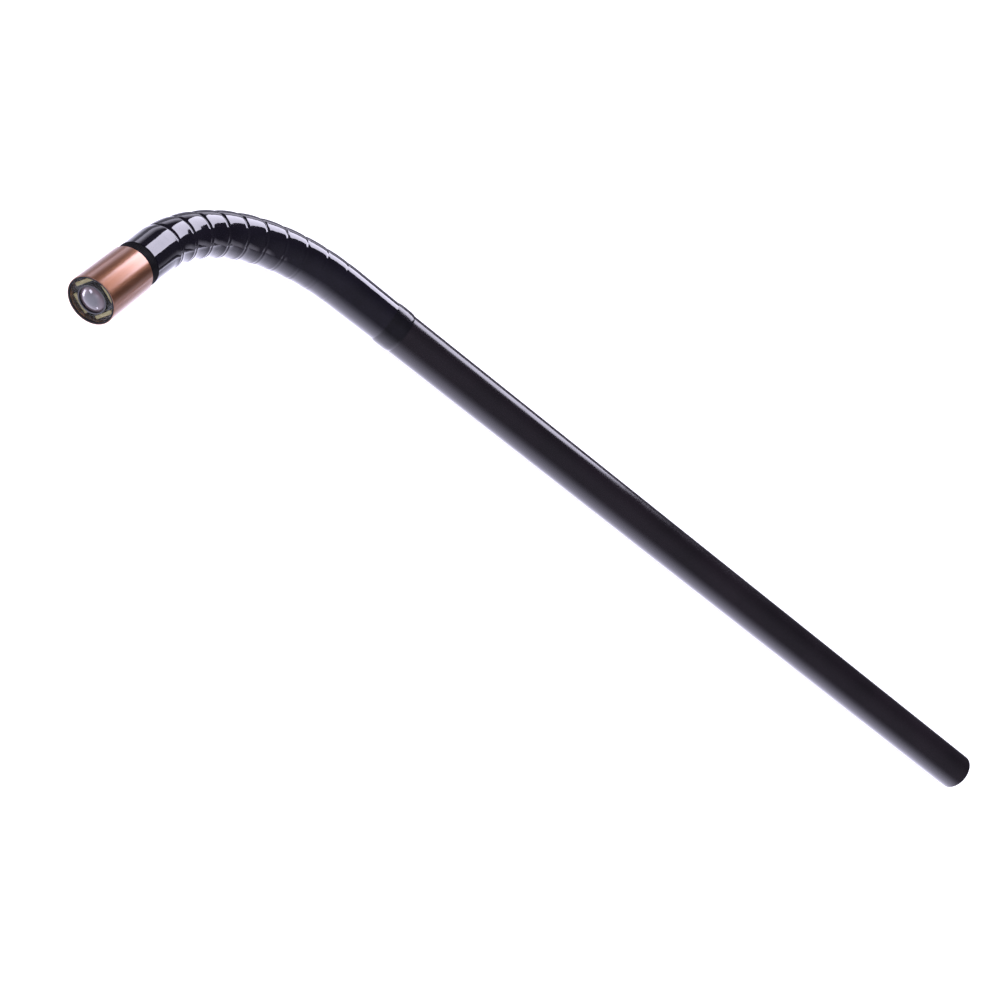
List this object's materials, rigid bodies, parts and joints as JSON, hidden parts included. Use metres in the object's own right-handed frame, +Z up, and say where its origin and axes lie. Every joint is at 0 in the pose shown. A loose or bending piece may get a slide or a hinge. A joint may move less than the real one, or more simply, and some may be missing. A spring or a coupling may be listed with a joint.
{
  "type": "articulating video laryngoscope insertion tube",
  "caption": "Slim insertion tube of a video laryngoscope: copper-coloured camera barrel on a ribbed bending section, with a straight black sheath behind it.",
  "frame": {"origin": "centre of the cut end of the straight tube", "axes": "+X along the straight tube towards the camera, +Z up along the hinge axes, and the tip bends towards +Y"},
  "size_m": [0.1452, 0.0317, 0.0058],
  "materials": {
    "sheath": "satin black polyurethane",
    "binding": "black epoxy over thread",
    "rubber": "glossy black",
    "braid_steel": "woven wire",
    "spring_steel": "rolled",
    "wire": "stranded",
    "link_steel": "stamped",
    "rivet_steel": "pressed",
    "cable_jacket": "extruded",
    "barrel_copper": "satin copper-coloured",
    "lens_mount": "black anodised",
    "lens_glass": "coated",
    "window": "clear",
    "board": "solder mask",
    "phosphor": "phosphor",
    "sensor": "silicon under glass"
  },
  "bodies": {
    "tube": {"outer_sheath": "sheath", "tube_braid": "braid_steel", "spiral_tube": "spring_steel", "wire_conduit_inner": "spring_steel", "wire_conduit_outer": "spring_steel", "camera_cable": "cable_jacket", "pull_wire_inner": "wire", "pull_wire_outer": "wire", "base_connector": "link_steel", "rear_binding": "binding", "bending_rubber": "rubber", "hinge_pins_01": "rivet_steel"},
    "link_01": {"vertebra_01": "link_steel", "hinge_pins_02": "rivet_steel"},
    "link_02": {"vertebra_02": "link_steel", "hinge_pins_03": "rivet_steel"},
    "link_03": {"vertebra_03": "link_steel", "hinge_pins_04": "rivet_steel"},
    "link_04": {"vertebra_04": "link_steel", "hinge_pins_05": "rivet_steel"},
    "link_05": {"vertebra_05": "link_steel", "hinge_pins_06": "rivet_steel"},
    "link_06": {"vertebra_06": "link_steel", "hinge_pins_07": "rivet_steel"},
    "link_07": {"vertebra_07": "link_steel", "hinge_pins_08": "rivet_steel"},
    "link_08": {"vertebra_08": "link_steel", "hinge_pins_09": "rivet_steel"},
    "link_09": {"vertebra_09": "link_steel", "hinge_pins_10": "rivet_steel"},
    "camera_head": {"tip_connector": "link_steel", "front_binding": "binding", "camera_barrel": "barrel_copper", "lens_barrel": "lens_mount", "front_lens": "lens_glass", "inner_lens": "lens_glass", "front_window": "window", "led_board": "board", "led_chip_1": "phosphor", "led_chip_2": "phosphor", "led_chip_3": "phosphor", "led_chip_4": "phosphor", "image_sensor": "sensor", "sensor_board": "board"}
  },
  "joints": [
    {"name": "bend_01", "type": "hinge", "parent": "tube", "child": "link_01", "pos_m": [0.1195, 0, 0], "axis": [0, 0, 1], "range_deg": [-18.09, 4.69], "deforming": ["bending_rubber", "camera_cable", "pull_wire_inner", "pull_wire_outer"]},
    {"name": "bend_02", "type": "hinge", "parent": "link_01", "child": "link_02", "pos_m": [0.12238, 0.00034, 0], "axis": [0, 0, 1], "range_deg": [-18.66, 4.83]},
    {"name": "bend_03", "type": "hinge", "parent": "link_02", "child": "link_03", "pos_m": [0.1252, 0.00102, 0], "axis": [0, 0, 1], "range_deg": [-19.23, 4.98]},
    {"name": "bend_04", "type": "hinge", "parent": "link_03", "child": "link_04", "pos_m": [0.12791, 0.00205, 0], "axis": [0, 0, 1], "range_deg": [-19.8, 5.13]},
    {"name": "bend_05", "type": "hinge", "parent": "link_04", "child": "link_05", "pos_m": [0.13047, 0.00341, 0], "axis": [0, 0, 1], "range_deg": [-20.37, 5.28]},
    {"name": "bend_06", "type": "hinge", "parent": "link_05", "child": "link_06", "pos_m": [0.13283, 0.0051, 0], "axis": [0, 0, 1], "range_deg": [-20.94, 5.42]},
    {"name": "bend_07", "type": "hinge", "parent": "link_06", "child": "link_07", "pos_m": [0.13494, 0.00709, 0], "axis": [0, 0, 1], "range_deg": [-21.51, 5.57]},
    {"name": "bend_08", "type": "hinge", "parent": "link_07", "child": "link_08", "pos_m": [0.13675, 0.00936, 0], "axis": [0, 0, 1], "range_deg": [-22.08, 5.72]},
    {"name": "bend_09", "type": "hinge", "parent": "link_08", "child": "link_09", "pos_m": [0.13822, 0.01186, 0], "axis": [0, 0, 1], "range_deg": [-22.65, 5.87]},
    {"name": "bend_10", "type": "hinge", "parent": "link_09", "child": "camera_head", "pos_m": [0.13931, 0.01454, 0], "axis": [0, 0, 1], "range_deg": [-23.22, 6.02]}
  ],
  "couplings": [
    {"joint": "bend_02", "follows": "bend_01", "ratio": 1.0315},
    {"joint": "bend_03", "follows": "bend_01", "ratio": 1.063},
    {"joint": "bend_04", "follows": "bend_01", "ratio": 1.0945},
    {"joint": "bend_05", "follows": "bend_01", "ratio": 1.126},
    {"joint": "bend_06", "follows": "bend_01", "ratio": 1.1575},
    {"joint": "bend_07", "follows": "bend_01", "ratio": 1.1891},
    {"joint": "bend_08", "follows": "bend_01", "ratio": 1.2206},
    {"joint": "bend_09", "follows": "bend_01", "ratio": 1.2521},
    {"joint": "bend_10", "follows": "bend_01", "ratio": 1.2836}
  ]
}
